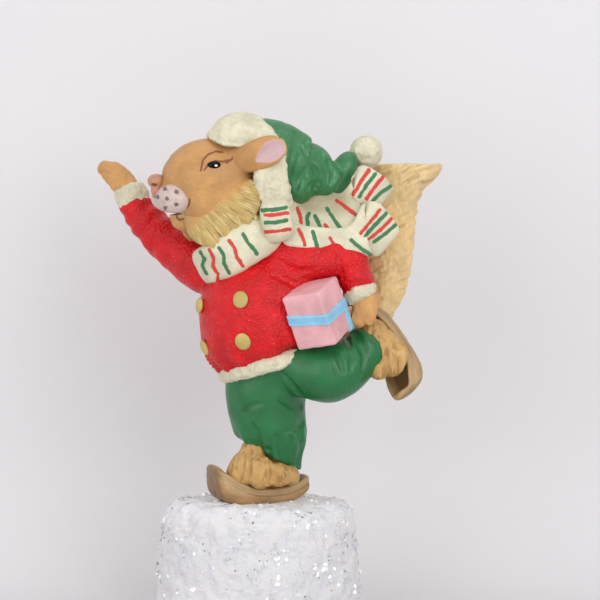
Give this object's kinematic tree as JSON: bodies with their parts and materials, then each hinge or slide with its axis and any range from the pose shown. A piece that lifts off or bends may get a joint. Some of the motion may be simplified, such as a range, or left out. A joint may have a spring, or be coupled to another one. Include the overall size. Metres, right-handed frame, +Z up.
{
  "type": "squirrel figurine",
  "caption": "Painted resin figurine of a squirrel in winter clothes, skating with a leg and an arm raised and a wrapped gift in its other arm, on a block of glittering snow.",
  "frame": {"origin": "centre of the snow block's flat underside", "axes": "+Z up; the squirrel skates towards -X and turns its chest to -Y, the side it is looked at from"},
  "size_m": [0.0903, 0.0437, 0.1263],
  "materials": {
    "snow": "crumbled white coating with clear glitter flakes",
    "skate_bronze": "bronze paint over cast resin, satin",
    "foot_fur": "tan paint with a brown wash in the grooves",
    "trousers_green": "green paint over cast resin, satin",
    "jacket_red": "stippled red paint over cast resin",
    "trim_cream": "cream paint on a rough fur texture, matt",
    "button_gold": "gold paint, satin",
    "gift_pink": "pink paint, satin",
    "ribbon_blue": "light blue paint, satin",
    "face_fur": "tan paint with fine brushed fur lines",
    "ruff_fur": "straw paint dry-brushed over cut fur",
    "tail_fur": "straw paint dry-brushed over combed fur",
    "ear_skin": "tan paint with a pink inner dish",
    "nose_skin": "pinkish brown paint, satin",
    "muzzle_white": "pinkish white paint with dark whisker dots",
    "eye_black": "gloss black paint with a white glint",
    "hat_green": "green paint over carved knit folds",
    "scarf_striped": "cream paint with hand-painted red and green stripes",
    "pin_steel": "plain drawn wire"
  },
  "bodies": {
    "root": {"snow_base": "snow", "ground_skate": "skate_bronze", "raised_skate": "skate_bronze", "ground_foot": "foot_fur", "raised_foot": "foot_fur", "trousers_standing_leg": "trousers_green", "trousers_raised_leg": "trousers_green", "jacket_body": "jacket_red", "raised_sleeve": "jacket_red", "gift_sleeve": "jacket_red", "jacket_hem": "trim_cream", "raised_cuff": "trim_cream", "gift_cuff": "trim_cream", "hat_brim": "trim_cream", "hat_pompon": "trim_cream", "jacket_button_1": "button_gold", "jacket_button_2": "button_gold", "jacket_button_3": "button_gold", "jacket_button_4": "button_gold", "raised_paw": "face_fur", "gift_paw": "face_fur", "gift_box": "gift_pink", "gift_ribbon": "ribbon_blue", "head": "face_fur", "left_ear": "ear_skin", "right_ear": "ear_skin", "left_eye": "eye_black", "right_eye": "eye_black", "nose": "nose_skin", "left_whisker_pad": "muzzle_white", "right_whisker_pad": "muzzle_white", "left_cheek_ruff": "ruff_fur", "right_cheek_ruff": "ruff_fur", "hat_cap": "hat_green", "scarf_wrap": "scarf_striped", "scarf_knot": "scarf_striped", "scarf_end_upper": "scarf_striped", "scarf_end_lower": "scarf_striped", "tail": "tail_fur", "leg_rod": "pin_steel", "neck_pin": "pin_steel", "arm_pin": "pin_steel", "raised_leg_pin": "pin_steel", "tail_pin": "pin_steel"}
  },
  "joints": []
}
